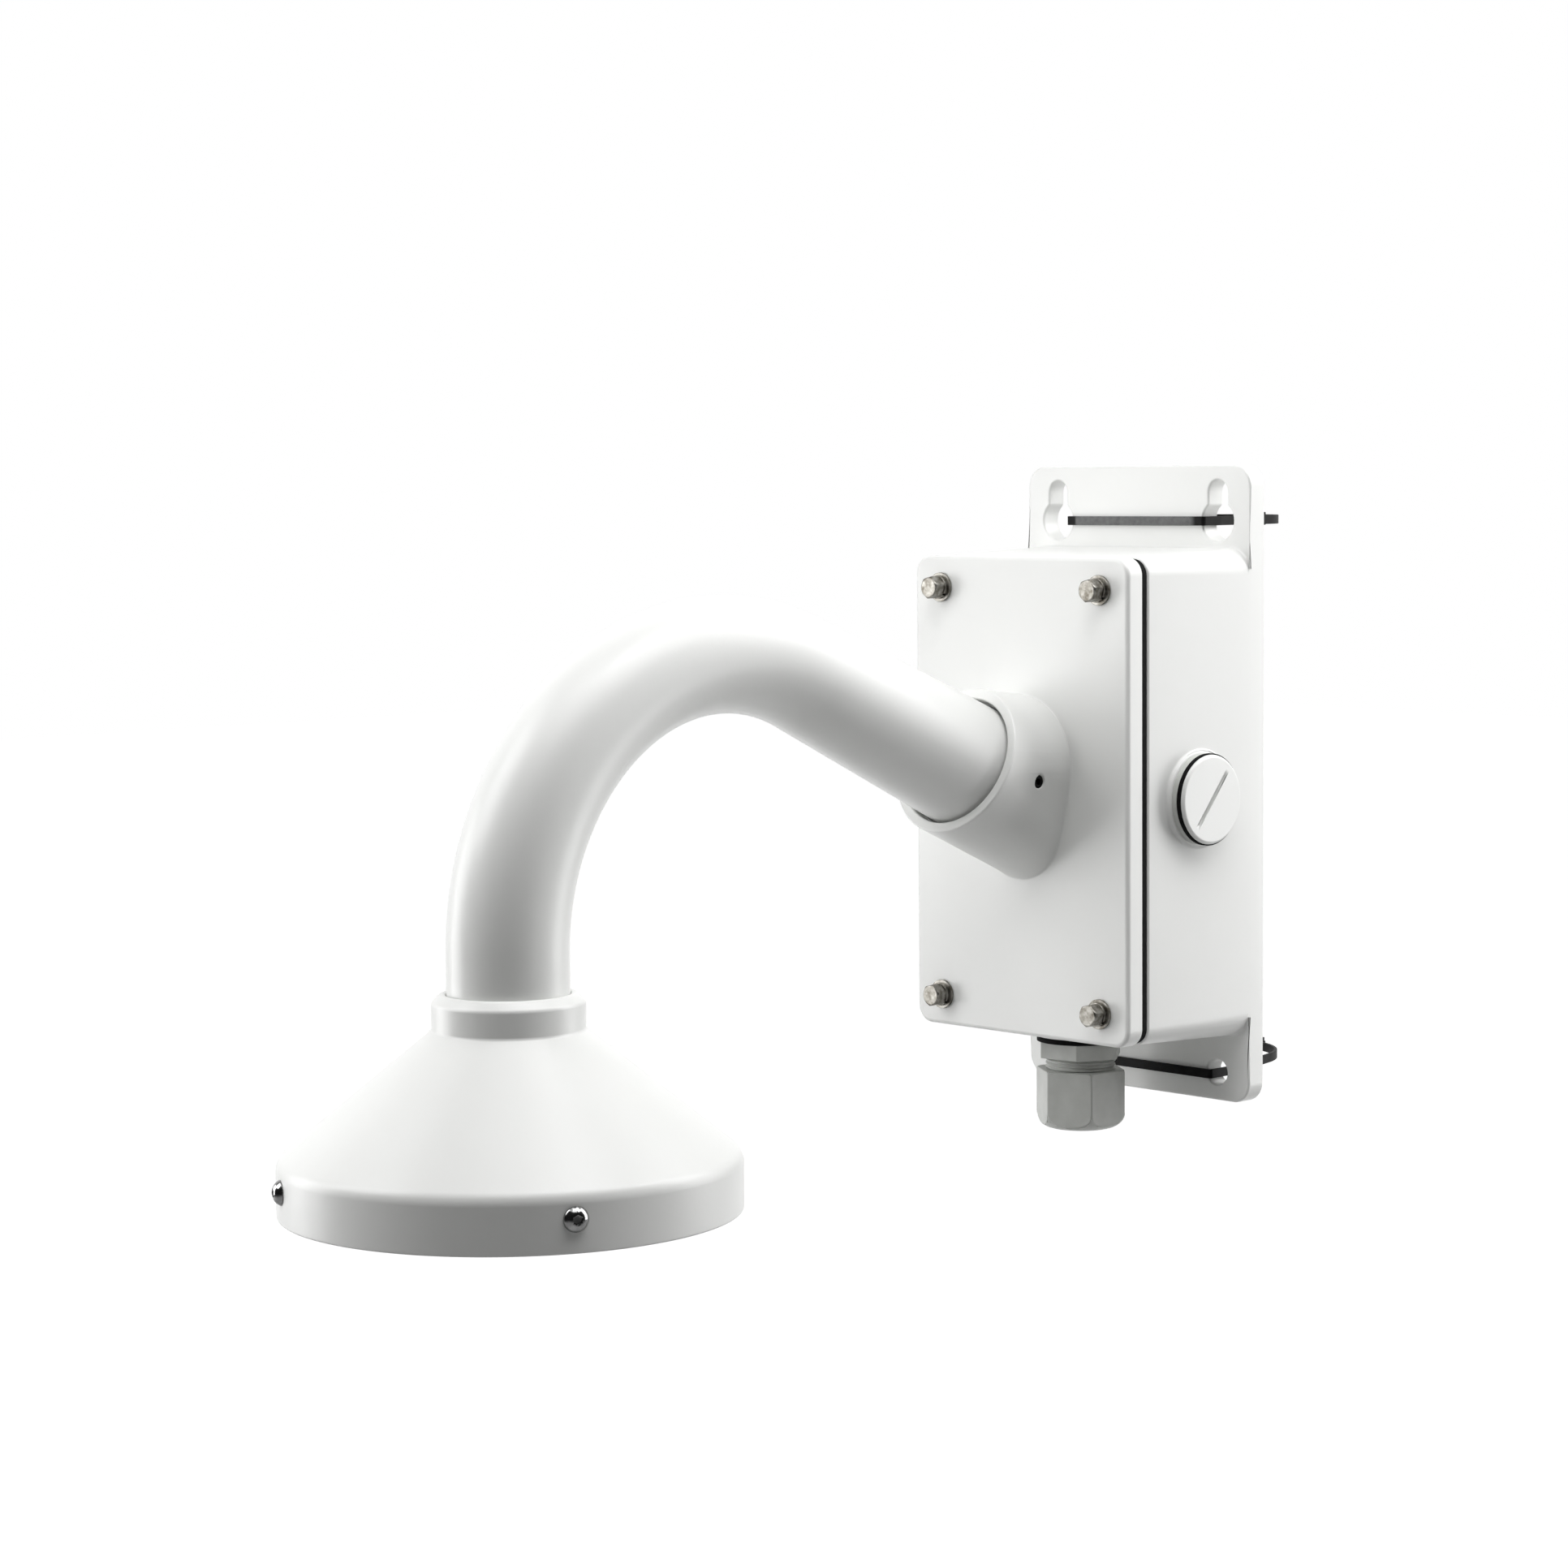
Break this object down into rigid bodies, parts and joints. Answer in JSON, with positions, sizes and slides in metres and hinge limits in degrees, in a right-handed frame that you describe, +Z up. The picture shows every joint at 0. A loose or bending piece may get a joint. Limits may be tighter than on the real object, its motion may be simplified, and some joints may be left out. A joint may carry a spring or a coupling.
{
  "type": "camera pole bracket",
  "caption": "Swan-neck bracket that hangs a dome camera from a pole: a wiring box strapped to the pole, a bent tube and a round downward cap.",
  "frame": {"origin": "on the axis of the pole that the straps go round, level with the middle of the box", "axes": "+Z up along the pole; -Y from the pole through the box and along the arm to the cap; +X to the side with the blanking plug"},
  "size_m": [0.16, 0.4798, 0.2608],
  "materials": {
    "painted_body": "satin off-white powder coat",
    "seal_rubber": "matte black",
    "fastener_steel": "plain stainless",
    "rim_screw_steel": "bright plated",
    "blackened_steel": "black oxide",
    "gland_plastic": "satin light grey",
    "strap_plastic": "satin black"
  },
  "bodies": {
    "root": {"back_box": "painted_body", "cover": "painted_body", "gooseneck_arm": "painted_body", "camera_cap": "painted_body", "blanking_plug": "painted_body", "cover_gasket": "seal_rubber", "plug_seal": "seal_rubber", "gland_seal": "seal_rubber", "gland_insert": "seal_rubber", "cover_bolts": "fastener_steel", "cover_washers": "fastener_steel", "cover_spring_washers": "fastener_steel", "rim_screws": "rim_screw_steel", "earth_screw": "fastener_steel", "earth_washer": "fastener_steel", "arm_grub_screw": "blackened_steel", "gland_body": "gland_plastic", "gland_locknut": "gland_plastic", "gland_claw_ring": "gland_plastic", "gland_cap_nut": "gland_plastic", "upper_strap": "strap_plastic", "lower_strap": "strap_plastic"}
  },
  "joints": []
}
